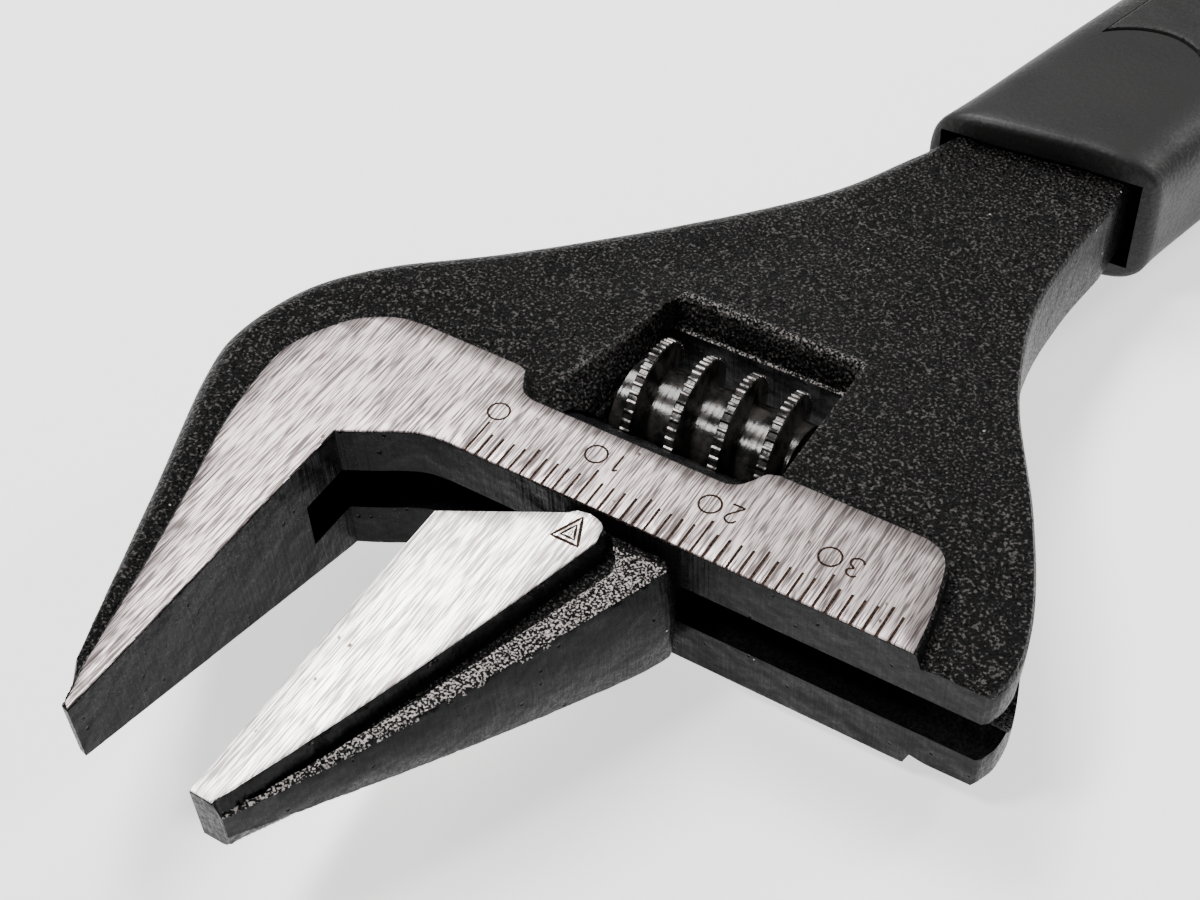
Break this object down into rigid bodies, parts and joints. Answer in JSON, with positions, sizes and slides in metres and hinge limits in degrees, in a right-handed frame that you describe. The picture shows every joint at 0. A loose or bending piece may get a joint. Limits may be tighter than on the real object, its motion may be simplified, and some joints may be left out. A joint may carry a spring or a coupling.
{
  "type": "adjustable wrench",
  "caption": "Adjustable wrench with thin tapered jaws, a sliding jaw driven by a knurled worm, an opening scale and a moulded grip.",
  "frame": {"origin": "middle of the fixed jaw's gripping face, on the head's middle plane", "axes": "+X out of the fixed jaw's gripping face, the way the movable jaw opens; +Y from the jaws towards the handle; +Z out of the face with the scale"},
  "size_m": [0.0872, 0.2058, 0.0164],
  "materials": {
    "forged_black": "grainy black oxide on forged steel, with polished plates",
    "jaw_black": "black oxide on ground and forged steel, polished plates",
    "polished_steel": "ground bright across the head",
    "worm_black": "glossy black oxide, knurled rims",
    "pin_steel": "turned",
    "spring_steel": "drawn wire",
    "grip_plastic": "fine moulded grain",
    "grip_rubber": "coarse moulded grain"
  },
  "bodies": {
    "frame": {"body": "forged_black", "worm_pin": "pin_steel", "worm_spring": "spring_steel", "grip_sleeve": "grip_plastic", "grip_inlay_top": "grip_rubber", "grip_inlay_bottom": "grip_rubber"},
    "jaw": {"movable_jaw": "jaw_black"},
    "worm": {"worm": "worm_black"}
  },
  "joints": [
    {"name": "jaw_slide", "type": "slide", "parent": "frame", "child": "jaw", "axis": [1, 0, 0], "range_m": [-0.0114, 0.0245]},
    {"name": "worm_spin", "type": "hinge", "parent": "frame", "child": "worm", "pos_m": [0.0152, 0.034, 0], "axis": [1, 0, 0], "range_deg": [-2206, 1027]}
  ],
  "couplings": [
    {"joint": "worm_spin", "follows": "jaw_slide", "rad_per_m": -1570.8}
  ]
}
